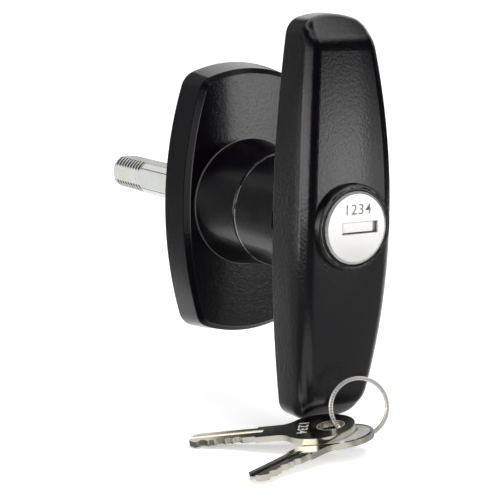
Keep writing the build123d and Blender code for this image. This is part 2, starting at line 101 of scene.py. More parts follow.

# Worn and dull places of the coat, painted highlights and painted shade. A station is how far a place lies
# from the door towards the grip.
MASK_CORE = 0.6
WEAR_AND_HIGHLIGHT_SCALE = 420
PARTING_OFFSET = 0.55 * MM
PARTING_R = 17.7 * MM
PARTING_HALF_LINE = 0.5 * MM
COLLAR_ROOT_STATION = 11.3 * MM
COLLAR_ROOT_R = 20.45 * MM
COLLAR_HIGHLIGHT_LEVEL = 0.16
BASE_EDGE_BAND = (-10.85 * MM, -9.3 * MM, 0.25 * MM, 0.4 * MM)
BASE_EDGE_SHADE = 0.8
RIM_EDGE_R = 12.1 * MM
RIM_HIGHLIGHT_LEVEL = 0.5
RIM_LINE_PITCH = 0.62 * MM
RIM_LINE_GRADE = (-0.2, 0.7, 0.3, 0.92)

# Noise: its usual spread, and the narrower part of it that gives stronger stains
NOISE_SPREAD = (0.3, 0.7)
NOISE_CORE = (0.35, 0.65)

# Metals: stains in soft clouds, and a tint that comes and goes
METAL_CLOUD_SCALE = 60
METAL_HUE_SCALE = 54
METAL_TINT_GRADE = (0.45, 0.75, 0.0, 0.55)

# Rubber
RUBBER_PORE_SCALE = 2500
RUBBER_PORE_DEPTH = 0.03 * MM
RUBBER_CLOUD_SCALE = 90
RUBBER_COLOURS = (0.012, 0.012, 0.012), (0.028, 0.028, 0.027)
RUBBER_ROUGHNESS = (0.62, 0.78)

# Spindle: thread on the four rounded corners of the bar
SPINDLE_CORNER_R = 6.3 * MM
SPINDLE_TIP_CHAMFER = 1.3 * MM
SPINDLE_FIRST_STEP = 1.0 * MM
SPINDLE_SHARP_ANGLE = math.radians(28)
THREAD_PITCH = 1.95 * MM
THREAD_DEPTH = 0.55 * MM
THREAD_LENGTH = 21.0 * MM
THREAD_LEAD = 1.5 * MM
THREAD_STEPS = 8
BAR_SEGMENTS = 96

# The spindle's finish, with painted shade in the grooves and beside the corners and a painted highlight on
# the corners. The distance across that tells corner from flat is measured from the bar's axis.
GROOVE_BAND = (0.26, 0.74, 0.12, 0.12)
GROOVE_EDGE = (2.4 * MM, 2.9 * MM)
GROOVE_RUN_IN = 1.0 * MM
CORNER_EDGE = (3.0 * MM, 3.5 * MM)
CORNER_SHADE_BAND = (3.36 * MM, 3.54 * MM, 0.12 * MM, 0.12 * MM)
CORNER_SHADE_LEVEL = 0.9
CORNER_SHADE_RUN_OUT = 2.0 * MM
FLAT_EDGE = (4.9 * MM, 5.15 * MM)
LAND_RUN_OUT = 0.5 * MM
LAND_ON_THREAD = 0.25
SPINDLE_COLOURS = (0.66, 0.68, 0.66), (0.82, 0.83, 0.82)
SPINDLE_TINT = (0.74, 0.68, 0.46)
SPINDLE_TINT_SCALE = 110
SPINDLE_TINT_GRADE = (0.48, 0.72, 0.0, 0.5)
SPINDLE_HIGHLIGHT_COLOUR = (0.93, 0.94, 0.92)
SPINDLE_HIGHLIGHT_LEVEL = 0.6
SPINDLE_SHADE_COLOUR = (0.012, 0.012, 0.009)
SPINDLE_SHADE_LEVEL = 0.97
SPINDLE_SHINE = 0.55
SPINDLE_HIGHLIGHT_DULLNESS = 0.4
SPINDLE_ROUGHNESS = (0.20, 0.34)
SPINDLE_GRAIN_SCALE = 1800
SPINDLE_GRAIN_DEPTH = 0.01 * MM
SPINDLE_GRAIN_STRETCH = (1, 0.15, 1)

# Set of keys: the frame in which the ring and the keys lie, and each key's place in it, in millimetres,
# and its heading, pitch and roll. Angles are in degrees.
SET_HEADING = -32.6
SET_TILT = 10.0
KEYS = {
    "key_a": ((-8.53, -5.12, -4.62), -5.95, 9.78, -5.72),
    "key_b": ((-4.2, -4.33, -6.8), 51.09, -2.59, -14.46),
}
KEY_THICKNESS = 1.8 * MM
KEY_BOW_X = -3.5 * MM

# The keys' finish: bright plate with a worn rim round the hole, and a pale satin bow on key_b.
# A spot is a radius and the softness beyond it.
KEY_COLOURS = (0.68, 0.64, 0.54), (0.82, 0.79, 0.70)
KEY_WORN_COLOUR = (0.74, 0.74, 0.73)
KEY_ROUGHNESS = (0.10, 0.20)
KEY_WORN_ROUGHNESS = 0.25
KEY_WORN_DULLNESS = 0.75
KEY_GRAIN_SCALE = 1600
KEY_GRAIN_DEPTH = 0.006 * MM
KEY_RIM_SPOT = (4.30 * MM, 0.1 * MM)
KEY_HOLE_SPOT = (4.14 * MM, 0.06 * MM)
KEY_SATIN_SPOT = (9.6 * MM, 0.3 * MM)
KEY_HIDDEN_SPOT = (9.8 * MM, 0.6 * MM)
KEY_B_PALE = 0.85

# Split ring: a flat strip wound twice. Angles are in degrees.
RING_TWIST = 9.9
RING_LEAN = 22.3
RING_MEAN_R = 8.75 * MM
RING_STRIP_WIDTH = 1.22 * MM
RING_STRIP_HEIGHT = 0.60 * MM
RING_STRIP_OFFSET = 0.31 * MM
RING_STRIP_SQUARENESS = 0.7
RING_STRIP_START = 205.0
RING_WINDINGS = 2
RING_END_GAP = 2.0
RING_END_TAPER = 6.0
RING_END_HEIGHT = 0.55
RING_CROSSOVER = 34.0
RING_OUTLINE_STEPS = 16
RING_STEPS = 220
RING_SHARP_ANGLE = math.radians(50)

# The ring's finish: slanting draw marks on its left, and painted shade in the gap between its windings
RING_COLOURS = (0.96, 0.93, 0.86), (0.16, 0.14, 0.11)
RING_SHINE = 0.65
RING_ROUGHNESS = (0.16, 0.28)
RING_CLOUD_SCALE = 200
RING_MARKS_ROUND = 64.0
RING_MARKS_SLANT = 7300.0
RING_MARKS_GRADE = (0.2, 0.9)
RING_MARKS_EDGE = (0.0, -3 * MM)
RING_MARKS_LEVEL = 0.6
RING_MARKS_DEPTH = 0.01 * MM
RING_GAP_SHADE_GRADE = (0.05 * MM, 0.13 * MM, 0.9, 0.0)

# Stamped figures
KEY_FIGURES_AT = (-8.6 * MM, 0.1 * MM)
FACE_FIGURES_AT = (0.25 * MM, 5.45 * MM)
FIGURES = "1234"
FIGURES_WIDTH = 9.0 * MM
FIGURES_HEIGHT = 3.2 * MM
FIGURES_PROUD = 0.02 * MM
FIGURES_BOLD = 0.03 * MM
FIGURES_SPACING = 1.15
FIGURES_RESOLUTION = 3
STAMP_CLOUD_SCALE = 900
STAMP_DEPTH = 0.01 * MM
STAMP_SHINE = 0.2
STAMP_ROUGHNESS = 0.5

# Key window in the lock's face, and the burr round it
WINDOW_WIDTH = 12.6 * MM
WINDOW_HEIGHT = 3.4 * MM
WINDOW_OFFSET = 1.3 * MM
WINDOW_LINE = 0.13 * MM
WINDOW_LINE_PROUD = 0.01 * MM
WINDOW_LINE_SUNK = 0.03 * MM

# Studio tent that only reflections see. Azimuth 0 is in front of the lock face, -90 on the grip's left,
# in degrees. A band is a low edge, a high edge and the softness of each. A grade is two places and the
# level at each.
TENT_CENTRE = Vector((0.0, -0.04, 0.0))
TENT_RADIUS = 0.5
TENT_SEGMENTS = (64, 32)
TENT_DARK = 0.02
RIGHT_BAND = (32, 36, 14, 7)
RIGHT_GRADE = (0, 13, 3.9, 1.1)
RIGHT_FADE = (13, 20, 1.0, 0.0)
LEFT_BAND = (-96, -52, 52, 6)
LEFT_GRADE = (2, 24, 2.6, 0.6)
LEFT_FADE = (24, 40, 1.0, 0.0)
BACK_GRADE = (-120, -135, 0.0, 1.0)
BACK_HEIGHT_GRADE = (-4, 12, 0.9, 0.2)
BEHIND_BAND = (115, 160, 20, 15)
BEHIND_HEIGHT_BAND = (16, 56, 12, 6)
BEHIND_LEVEL = 0.9
TOP_BAND = (65, 70, 6, 8)
TOP_LEVEL = 1.3
PATCH_BAND = (30, 66, 15, 22)
PATCH_HEIGHT_BAND = (50, 63, 6, 6)
PATCH_LEVEL = 1.3

# Floor and background as the camera sees them
FLOOR_GAP = 0.4 * MM
FLOOR_RADIUS = 6.0
FLOOR_SEGMENTS = 96
FLOOR_COLOUR = (0.93, 0.93, 0.93, 1.0)
FLOOR_ROUGHNESS = 0.6
FLOOR_GLOW_GRADE = (0.2, 1.2, 0.35, 0.6)
WHITE = (1, 1, 1, 1)
WORLD_LEVEL = 0.5
WORLD_SEEN_LEVEL = 1.0

# Floor as the object mirrors it: behind the object, before it on the left and right, and a painted shadow
# at the grip's foot
MIRROR_ACROSS = (0.842, 0.539)
MIRROR_BEHIND_GRADE = (-38 * MM, -26 * MM, 0.16, 1.1)
MIRROR_KEYS_AT = (-0.035, -0.10, 0.0)
MIRROR_KEYS_GRADE = (34 * MM, 50 * MM, 0.78, 0.12)
MIRROR_RIGHT_EDGE = (-6 * MM, 6 * MM)
MIRROR_RIGHT_LEVEL = 0.34
MIRROR_FOOT_AT = (0.004, -0.062, 0.0)
MIRROR_FOOT_SHADOW_GRADE = (10 * MM, 30 * MM, 0.2, 1.0)
MIRROR_AHEAD_EDGE = (-45 * MM, -60 * MM)


class Shader:
    """A material in the making. Most calls add a node and give its output."""

    def __init__(self, name):
        self.mat = bpy.data.materials.new(name)
        self.mat.use_nodes = True
        self.nodes = self.mat.node_tree.nodes
        self.links = self.mat.node_tree.links
        self.nodes.clear()
        self.out = self.nodes.new("ShaderNodeOutputMaterial")
        self.coords = self.nodes.new("ShaderNodeTexCoord").outputs["Object"]

    def put(self, socket, value):
        """Links an output to the socket or sets its value; None leaves it as it is."""
        if isinstance(value, bpy.types.NodeSocket):
            self.links.new(value, socket)
        elif value is not None:
            socket.default_value = value

    def node(self, kind, out=0, props=None, **inputs):
        """Inputs are given by name, with _ for a space, or by i and their number."""
        node = self.nodes.new(kind)
        for key, value in (props or {}).items():
            setattr(node, key, value)
        for key, value in inputs.items():
            numbered = key[0] == "i" and key[1:].isdigit()
            self.put(node.inputs[int(key[1:]) if numbered else key.replace("_", " ")], value)
        return node.outputs[out]

    def close(self, shader):
        """Puts the shader on the surface and gives the finished material."""
        self.links.new(shader, self.out.inputs["Surface"])
        return self.mat

    def math(self, operation, a, b=None):
        return self.node("ShaderNodeMath", 0, {"operation": operation}, i0=a, i1=b)

    def product(self, *values):
        result = values[0]
        for value in values[1:]:
            result = self.math("MULTIPLY", result, value)
        return result

    def total(self, *values):
        result = values[0]
        for value in values[1:]:
            result = self.math("ADD", result, value)
        return result

    def inverse(self, value):
        return self.math("SUBTRACT", 1.0, value)

    def beyond(self, value, start):
        """How far value is past start, squared."""
        past = self.math("MAXIMUM", self.math("SUBTRACT", value, start), 0.0)
        return self.product(past, past)

    def noise(self, scale, detail=3, rough=0.6, vector=None):
        place = vector or self.coords
        return self.node("ShaderNodeTexNoise", 0, Vector=place, Scale=scale, Detail=detail, Roughness=rough)

    def ramp(self, value, stops):
        node = self.nodes.new("ShaderNodeValToRGB")
        ramp = node.color_ramp
        while len(ramp.elements) < len(stops):
            ramp.elements.new(0.5)
        for element, (place, level) in zip(ramp.elements, stops):
            element.position = place
            element.color = (level, level, level, 1.0)
        self.put(node.inputs[0], value)
        return node.outputs[0]

    def span(self, value, low, high, to_low=0.0, to_high=1.0):
        return self.node(
            "ShaderNodeMapRange", 0, {"clamp": True},
            Value=value, From_Min=low, From_Max=high, To_Min=to_low, To_Max=to_high,
        )

    def spread(self, noise, to_low=0.0, to_high=1.0):
        """A level that follows the noise from to_low to to_high."""
        return self.span(noise, *NOISE_SPREAD, to_low, to_high)

    def band(self, value, low, high, soft_low, soft_high):
        """1 between low and high, with soft ends outside them."""
        rise = self.span(value, low - soft_low, low)
        fall = self.span(value, high, high + soft_high, 1.0, 0.0)
        return self.product(rise, fall)

    def mix(self, factor, a, b):
        """A blend of two colours, which are inputs 6 and 7 and output 2 of a mix node."""
        node = self.nodes.new("ShaderNodeMix")
        node.data_type = "RGBA"
        self.put(node.inputs[0], factor)
        self.put(node.inputs[6], a if isinstance(a, bpy.types.NodeSocket) else (*a, 1.0))
        self.put(node.inputs[7], b if isinstance(b, bpy.types.NodeSocket) else (*b, 1.0))
        return node.outputs[2]

    def bump(self, height, distance):
        return self.node("ShaderNodeBump", 0, Height=height, Distance=distance, Strength=1.0)

    def xyz(self):
        node = self.nodes.new("ShaderNodeSeparateXYZ")
        self.links.new(self.coords, node.inputs[0])
        return node.outputs

    def off_axis(self):
        """The distance from the spindle's axis."""
        x, _, z = self.xyz()
        return self.math("SQRT", self.total(self.product(x, x), self.product(z, z)))

    def distance(self, point):
        place = tuple(point)
        return self.node("ShaderNodeVectorMath", 1, {"operation": "DISTANCE"}, i0=self.coords, i1=place)

    def scaled(self, x, y, z):
        return self.node("ShaderNodeMapping", 0, Vector=self.coords, Scale=(x, y, z))

    def surface(self, **inputs):
        return self.close(self.node("ShaderNodeBsdfPrincipled", 0, **inputs))

    def emit(self, level):
        return self.node("ShaderNodeEmission", 0, Color=WHITE, Strength=level)


def crown(s):
    """How far the grip's front and side fall away from their middles."""
    x, y, _ = s.xyz()
    front = s.product(x, x, FRONT_CROWN)
    fall = s.product(s.beyond(x, FRONT_FALL_START), FRONT_FALL)
    side = s.product(s.beyond(s.product(y, -1.0), SIDE_CROWN_START), SIDE_CROWN)
    return s.total(front, fall, side)


def black_coat(name, wear_and_highlight, shaped=False, hush=None):
    """Gloss black powder coat with orange peel. The given mask shows bare metal, which is real worn paint
    on the neck's root and a painted highlight at the collar's root and the rim's edge; hush dulls the
    gloss.
    """
    s = Shader(name)
    peel = s.product(s.noise(PEEL_SCALE, detail=2, rough=0.5), PEEL_DEPTH)
    grain = s.product(s.noise(GRAIN_SCALE, detail=1, rough=0.5), GRAIN_DEPTH)
    height = s.total(peel, grain)
    if shaped:
        height = s.math("SUBTRACT", height, crown(s))
    cloud = s.noise(COAT_CLOUD_SCALE, rough=0.5)
    # Bare metal: real worn paint on the neck's root, painted highlights at the collar's root and the rim's
    # edge
    worn = wear_and_highlight(s)
    colour = s.mix(s.span(cloud, *NOISE_CORE), *COAT_COLOURS)
    rough = s.product(s.spread(cloud, *COAT_ROUGHNESS), s.inverse(worn))
    rough = s.total(rough, s.product(worn, WORN_AND_HIGHLIGHT_ROUGHNESS))
    gloss, varnish = COAT_GLOSS, VARNISH
    if hush:
        left = s.inverse(hush(s))
        gloss, varnish = s.product(left, gloss), s.product(left, varnish)
    return s.surface(
        Base_Color=s.mix(worn, colour, WORN_AND_HIGHLIGHT_COLOUR), Roughness=rough, Metallic=worn,
        Normal=s.bump(height, 1.0), Coat_Weight=varnish, Coat_Roughness=VARNISH_ROUGHNESS,
        Specular_IOR_Level=gloss,
    )


def metal(name, low, high, rough, grain_scale, grain_depth, stretch=(1, 1, 1), tint=None, shine=1.0):
    """Bare or plated metal with grain, stretched along its working direction, and soft stains."""
    s = Shader(name)
    grain = s.noise(grain_scale, vector=s.scaled(*stretch))
    cloud = s.noise(METAL_CLOUD_SCALE, rough=0.55)
    colour = s.mix(s.spread(cloud), low, high)
    if tint:
        hue = s.noise(METAL_HUE_SCALE, detail=2, rough=0.5)
        colour = s.mix(s.span(hue, *METAL_TINT_GRADE), colour, tint)
    normal = s.bump(grain, grain_depth)
    return s.surface(Base_Color=colour, Metallic=shine, Roughness=s.spread(cloud, *rough), Normal=normal)


def rubber(name):
    s = Shader(name)
    pores = s.bump(s.noise(RUBBER_PORE_SCALE), RUBBER_PORE_DEPTH)
    cloud = s.noise(RUBBER_CLOUD_SCALE, detail=2, rough=0.5)
    roughness = s.spread(cloud, *RUBBER_ROUGHNESS)
    return s.surface(Base_Color=s.mix(cloud, *RUBBER_COLOURS), Roughness=roughness, Normal=pores)


def ring_mask(s, station, radius, half_station, half_radius):
    """1 near a circle round the spindle's axis, softer from MASK_CORE of the half widths outwards."""
    y = s.xyz()[1]
    off_radius = s.math("ABSOLUTE", s.math("SUBTRACT", s.off_axis(), radius))
    off_station = s.math("ABSOLUTE", s.total(y, station))
    off_radius = s.math("DIVIDE", off_radius, half_radius)
    off_station = s.math("DIVIDE", off_station, half_station)
    return s.span(s.math("MAXIMUM", off_radius, off_station), MASK_CORE, 1.0, 1.0, 0.0)


def edge_wear_and_highlight(s, low, high, **place):
    """Bare metal along a turned edge, broken up by noise between low and high: real worn paint on the
    neck's root, a painted highlight on the rim's edge.
    """
    return s.product(ring_mask(s, **place), s.span(s.noise(WEAR_AND_HIGHLIGHT_SCALE), low, high))


def parting_wear(s):
    """Worn paint on the neck's root, where it turns against the base's collar."""
    station = PARTING_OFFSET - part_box("base_plate")[0].y
    return edge_wear_and_highlight(
        s, low=0.40, high=0.48, station=station, radius=PARTING_R,
        half_station=PARTING_HALF_LINE, half_radius=PARTING_HALF_LINE,
    )


def collar_root_highlight(s):
    """A faint painted highlight on the fillet where the base's collar rises from its face, drawn in the
    coat's bare-metal colour.
    """
    # Painted highlight: a thin bright ring on the fillet at the collar's root
    line = ring_mask(
        s, station=COLLAR_ROOT_STATION, radius=COLLAR_ROOT_R, half_station=0.35 * MM, half_radius=0.30 * MM
    )
    return s.product(line, COLLAR_HIGHLIGHT_LEVEL)


def base_edge_shade(s):
    """Painted shade: the gloss is dulled on the round edge of the base's face, between the two lines that
    its ends mirror, where it mirrors the grip's dark back.
    """
    # Painted shade: less gloss on the base's round edge
    return s.product(s.band(s.xyz()[1], *BASE_EDGE_BAND), BASE_EDGE_SHADE)


def rim_edge_highlight(s):
    """A painted highlight on the round edge of the lock body's rim, broken up like worn paint."""
    front = -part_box("lock_housing")[0].y
    # Painted highlight: a broken bright line along the rim's round edge
    worn = edge_wear_and_highlight(
        s, low=0.42, high=0.60, station=front, radius=RIM_EDGE_R,
        half_station=0.3 * MM, half_radius=0.11 * MM,
    )
    return s.product(worn, RIM_HIGHLIGHT_LEVEL)


def rim_lines(s):
    """Fine turned lines round the lock body's rim, duller than the rest of it."""
    wave = s.math("SINE", s.product(s.off_axis(), 2 * math.pi / RIM_LINE_PITCH))
    return s.span(wave, *RIM_LINE_GRADE)


def ring_finish(name):
    """Nickel strip with fine slanting draw marks, and painted shade in the gap between its windings."""
    s = Shader(name)
    x, y, z = s.xyz()
    round_ring = s.product(s.math("ARCTAN2", y, x), RING_MARKS_ROUND)
    wave = s.math("SINE", s.total(round_ring, s.product(z, RING_MARKS_SLANT)))
    marks = s.product(s.span(wave, *RING_MARKS_GRADE), s.span(x, *RING_MARKS_EDGE))
    winding_gap_shade = s.span(s.math("ABSOLUTE", z), *RING_GAP_SHADE_GRADE)
    # dark: the draw marks, and the painted shade between the windings
    dark = s.math("MAXIMUM", s.product(marks, RING_MARKS_LEVEL), winding_gap_shade)
    roughness = s.spread(s.noise(RING_CLOUD_SCALE, rough=0.55), *RING_ROUGHNESS)
    normal = s.bump(s.product(marks, -RING_MARKS_DEPTH), 1.0)
    return s.surface(
        Base_Color=s.mix(dark, *RING_COLOURS), Metallic=RING_SHINE, Roughness=roughness, Normal=normal
    )


def spot(s, point, radius, soft):
    """1 within radius of a point."""
    return s.span(s.distance(point), radius, radius + soft, 1.0, 0.0)


def key_finish(name, key, pale):
    """Nickel plate of a key; pale is how satin its bow is where key_a doesn't cover it."""
    s = Shader(name)
    hole = key_frame(key) @ Vector((0, 0, 0))
    rim = s.math("SUBTRACT", spot(s, hole, *KEY_RIM_SPOT), spot(s, hole, *KEY_HOLE_SPOT))
    worn = s.math("MAXIMUM", rim, 0.0)
    if pale:
        bow = key_frame(key) @ Vector((KEY_BOW_X, 0, 0))
        bow_above = key_frame("key_a") @ Vector((KEY_BOW_X, 0, 0))
        shown = s.inverse(spot(s, bow_above, *KEY_HIDDEN_SPOT))
        worn = s.math("MAXIMUM", worn, s.product(spot(s, bow, *KEY_SATIN_SPOT), shown, pale))
    cloud = s.noise(METAL_CLOUD_SCALE, rough=0.55)
    colour = s.mix(worn, s.mix(s.spread(cloud), *KEY_COLOURS), KEY_WORN_COLOUR)
    roughness = s.total(s.spread(cloud, *KEY_ROUGHNESS), s.product(worn, KEY_WORN_ROUGHNESS))
    grain = s.bump(s.noise(KEY_GRAIN_SCALE), KEY_GRAIN_DEPTH)
    shine = s.inverse(s.product(worn, KEY_WORN_DULLNESS))
    return s.surface(Base_Color=colour, Metallic=shine, Roughness=roughness, Normal=grain)


def thread_start():
    """Where the thread begins along +Y; it ends at the spindle's tip."""
    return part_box("spindle")[1].y - THREAD_LENGTH


def thread_shade(s):
    """Painted shade: 1 in the thread's grooves and along the edges of the flats."""
    x, y, z = s.xyz()
    across, up = s.math("ABSOLUTE", x), s.math("ABSOLUTE", z)
    widest, narrowest = s.math("MAXIMUM", across, up), s.math("MINIMUM", across, up)
    start = thread_start()
    turned = s.product(s.math("ARCTAN2", z, x), 1 / (2 * math.pi))
    along = s.math("DIVIDE", s.math("SUBTRACT", y, start), THREAD_PITCH)
    groove = s.band(s.math("FRACT", s.total(along, turned)), *GROOVE_BAND)
    on_thread = s.span(y, start, start + GROOVE_RUN_IN)
    # Painted shade in the thread's grooves
    groove_shade = s.product(groove, s.span(narrowest, *GROOVE_EDGE), on_thread)
    # Painted shade: a dark line beside each corner, where the flat meets the corner
    line = s.product(s.band(narrowest, *CORNER_SHADE_BAND), CORNER_SHADE_LEVEL)
    before_thread = s.span(y, start + CORNER_SHADE_RUN_OUT, start)
    return s.math("MAXIMUM", groove_shade, s.product(line, before_thread, s.span(widest, *FLAT_EDGE)))


def lit_corner_mask(s):
    """1 on the bar's plain rounded corners, less on the thread: where the painted highlight goes."""
    x, y, z = s.xyz()
    start = thread_start()
    narrowest = s.math("MINIMUM", s.math("ABSOLUTE", x), s.math("ABSOLUTE", z))
    plain = s.span(y, start - LAND_RUN_OUT, start + LAND_RUN_OUT, 1.0, LAND_ON_THREAD)
    return s.product(s.span(narrowest, *CORNER_EDGE), plain)


def spindle_finish(name):
    """Zinc plate with a yellow tinge, a painted highlight on the corners, painted shade in the grooves and
    a painted shade line beside each corner.
    """
    s = Shader(name)
    lit_corner = lit_corner_mask(s)
    cloud = s.noise(METAL_CLOUD_SCALE, rough=0.55)
    hue = s.noise(SPINDLE_TINT_SCALE, detail=2, rough=0.5)
    colour = s.mix(s.spread(cloud), *SPINDLE_COLOURS)
    colour = s.mix(s.span(hue, *SPINDLE_TINT_GRADE), colour, SPINDLE_TINT)
    # Painted highlight: the rounded corners lighter and less metallic
    colour = s.mix(s.product(lit_corner, SPINDLE_HIGHLIGHT_LEVEL), colour, SPINDLE_HIGHLIGHT_COLOUR)
    colour = s.mix(s.product(thread_shade(s), SPINDLE_SHADE_LEVEL), colour, SPINDLE_SHADE_COLOUR)
    shine = s.math("SUBTRACT", SPINDLE_SHINE, s.product(lit_corner, SPINDLE_HIGHLIGHT_DULLNESS))
    roughness = s.spread(cloud, *SPINDLE_ROUGHNESS)
    grain = s.noise(SPINDLE_GRAIN_SCALE, vector=s.scaled(*SPINDLE_GRAIN_STRETCH))
    normal = s.bump(grain, SPINDLE_GRAIN_DEPTH)
    return s.surface(Base_Color=colour, Metallic=shine, Roughness=roughness, Normal=normal)


def stamp_finish(name, low, high):
    """The rough bottom of a stamped figure."""
    s = Shader(name)
    cloud = s.noise(STAMP_CLOUD_SCALE)
    return s.surface(
        Base_Color=s.mix(s.span(cloud, *NOISE_CORE), low, high), Metallic=STAMP_SHINE,
        Roughness=STAMP_ROUGHNESS, Normal=s.bump(cloud, STAMP_DEPTH),
    )


def turn(axis, degrees):
    return Matrix.Rotation(math.radians(degrees), 4, axis)


def set_frame():
    """The frame of the key set: its origin in the middle of the ring."""
    low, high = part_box("key_ring")
    return Matrix.Translation((low + high) / 2) @ turn("Z", SET_HEADING) @ turn("X", SET_TILT)


def key_frame(key):
    """The frame of a key: its origin in the middle of the hole, the blade towards -X."""
    hole, heading, pitch, roll = KEYS[key]
    place = set_frame() @ Matrix.Translation(Vector(hole) * MM)
    return place @ turn("Z", heading) @ turn("Y", -pitch) @ turn("X", roll)


MATERIALS = {
    "black_coat": black_coat("black_coat_main", parting_wear, shaped=True),
    "base_coat": black_coat("black_coat_base", collar_root_highlight, hush=base_edge_shade),
    "bezel_black": black_coat("bezel_black_main", rim_edge_highlight, hush=rim_lines),
    "face_steel": metal(
        "face_steel_main", low=(0.80, 0.79, 0.77), high=(0.90, 0.89, 0.87), rough=(0.20, 0.30),
        grain_scale=2200, grain_depth=0.006 * MM, stretch=(1, 1, 0.08), shine=0.75,
    ),
    "zinc": metal(
        "zinc_main", low=(0.42, 0.42, 0.43), high=(0.58, 0.58, 0.60), rough=(0.38, 0.52),
        grain_scale=1500, grain_depth=0.02 * MM,
    ),
    "zinc_plate": metal(
        "zinc_plate_main", low=(0.62, 0.62, 0.60), high=(0.80, 0.80, 0.79), rough=(0.18, 0.32),
        grain_scale=1800, grain_depth=0.01 * MM, stretch=(1, 0.15, 1), tint=(0.72, 0.66, 0.45),
    ),
    "spring_steel": metal(
        "spring_steel_main", low=(0.26, 0.26, 0.27), high=(0.42, 0.42, 0.43), rough=(0.26, 0.4),
        grain_scale=1900, grain_depth=0.01 * MM,
    ),
    "brass": metal(
        "brass_main", low=(0.66, 0.47, 0.18), high=(0.78, 0.60, 0.28), rough=(0.24, 0.36),
        grain_scale=1700, grain_depth=0.01 * MM,
    ),
    "key_a": key_finish("nickel_key_a", "key_a", pale=0.0),
    "key_b": key_finish("nickel_key_b", "key_b", pale=KEY_B_PALE),
    "ring_nickel": ring_finish("nickel_ring"),
    "spindle_plate": spindle_finish("zinc_plate_spindle"),
    "stamp": stamp_finish("stamp_grey", low=(0.19, 0.185, 0.18), high=(0.32, 0.31, 0.30)),
    "key_stamp": stamp_finish("stamp_bright", low=(0.74, 0.73, 0.70), high=(0.88, 0.87, 0.84)),
    "gasket_rubber": rubber("gasket_rubber_main"),
}

# Nodes that don't take the material of their slot
OWN_MATERIALS = {
    "base_plate": "base_coat", "key_a": "key_a", "key_b": "key_b", "key_ring": "ring_nickel",
    "spindle": "spindle_plate",
}


def dress_nodes():
    """Every CAD node gets its worked-out material."""
    for part in frame["record"]["subparts"]:
        node = frame["nodes"][part["node"]]
        material = MATERIALS[OWN_MATERIALS.get(part["node"], part["material_slot"])]
        for slot in node.material_slots:
            slot.material = material
        if not node.material_slots:
            node.data.materials.append(material)


def mesh_object(name, bm, material, smooth=True):
    mesh = bpy.data.meshes.new(name)
    bm.to_mesh(mesh)
    bm.free()
    for polygon in mesh.polygons:
        polygon.use_smooth = smooth
    obj = bpy.data.objects.new(name, mesh)
    bpy.context.scene.collection.objects.link(obj)
    mesh.materials.append(material)
    return obj


def loft_object(name, rings, material):
    """A skin through rings of points, with flat ends."""
    bm = bmesh.new()
    rows = [[bm.verts.new(point) for point in ring] for ring in rings]
    for one, two in zip(rows, rows[1:]):
        for i in range(len(one)):
            j = (i + 1) % len(one)
            bm.faces.new((one[i], one[j], two[j], two[i]))
    bm.faces.new(reversed(rows[0]))
    bm.faces.new(rows[-1])
    bmesh.ops.recalc_face_normals(bm, faces=bm.faces)
    return mesh_object(name, bm, material)


def threaded_spindle():
    """The square bar with its thread: each corner is cut by the thread, each flat stays plain."""
    low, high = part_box("spindle")
    half = (high.z - low.z) / 2
    middle = (high.z + low.z) / 2
    start = thread_start()
    stations = [low.y, low.y + SPINDLE_FIRST_STEP, start - THREAD_LEAD]
    count = int(THREAD_LENGTH / THREAD_PITCH * THREAD_STEPS)
    stations += [start + (high.y - start) * k / count for k in range(count + 1)]
    rings = []
    for y in stations:
        chamfer = max(0.0, y - (high.y - SPINDLE_TIP_CHAMFER))
        run_in = min(1.0, max(0.0, (y - start) / THREAD_PITCH))
        ring = []
        for k in range(BAR_SEGMENTS):
            angle = 2 * math.pi * k / BAR_SEGMENTS
            phase = ((y - start) / THREAD_PITCH + k / BAR_SEGMENTS) % 1.0
            groove = THREAD_DEPTH * run_in * (1 - abs(2 * phase - 1))
            corner = SPINDLE_CORNER_R - groove - chamfer
            flat = half / max(abs(math.cos(angle)), abs(math.sin(angle)))
            radius = min(corner, flat)
            ring.append((radius * math.cos(angle), y, middle + radius * math.sin(angle)))
        rings.append(ring)
    obj = loft_object("spindle_threaded", rings, MATERIALS["spindle_plate"])
    obj.data.set_sharp_from_angle(angle=SPINDLE_SHARP_ANGLE)
    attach(obj, "handle")
    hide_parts("spindle")


def strip_outline():
    """The flat strip's cross-section, a rectangle with round corners."""
    outline = []
    for k in range(RING_OUTLINE_STEPS):
        angle = 2 * math.pi * k / RING_OUTLINE_STEPS
        across, up = math.cos(angle), math.sin(angle)
        outline.append((
            RING_STRIP_WIDTH / 2 * math.copysign(abs(across) ** RING_STRIP_SQUARENESS, across),
            RING_STRIP_HEIGHT / 2 * math.copysign(abs(up) ** RING_STRIP_SQUARENESS, up),
        ))
    return outline


def split_ring():
    """A split ring: one flat strip wound twice, which crosses over from one layer to the other."""
    outline = strip_outline()
    total = 360.0 * RING_WINDINGS - RING_END_GAP
    rings = []
    for k in range(RING_STEPS + 1):
        swept = total * k / RING_STEPS
        share = min(1.0, max(0.0, (swept - 360.0 + RING_CROSSOVER / 2) / RING_CROSSOVER))
        share = share * share * (3 - 2 * share)
        layer = RING_STRIP_OFFSET * (2 * share - 1)
        angle = math.radians(RING_STRIP_START + swept)
        from_end = min(swept, total - swept) / RING_END_TAPER
        height = min(1.0, RING_END_HEIGHT + (1 - RING_END_HEIGHT) * from_end)
        rings.append([
            ((RING_MEAN_R + u) * math.cos(angle), (RING_MEAN_R + u) * math.sin(angle), layer + v * height)
            for u, v in outline
        ])
    obj = loft_object("key_ring_wound", rings, MATERIALS["ring_nickel"])
    obj.data.set_sharp_from_angle(angle=RING_SHARP_ANGLE)
    obj.matrix_world = set_frame() @ turn("Z", RING_TWIST) @ turn("X", 90 - RING_LEAN)
    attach(obj, "ring")
    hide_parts("key_ring")


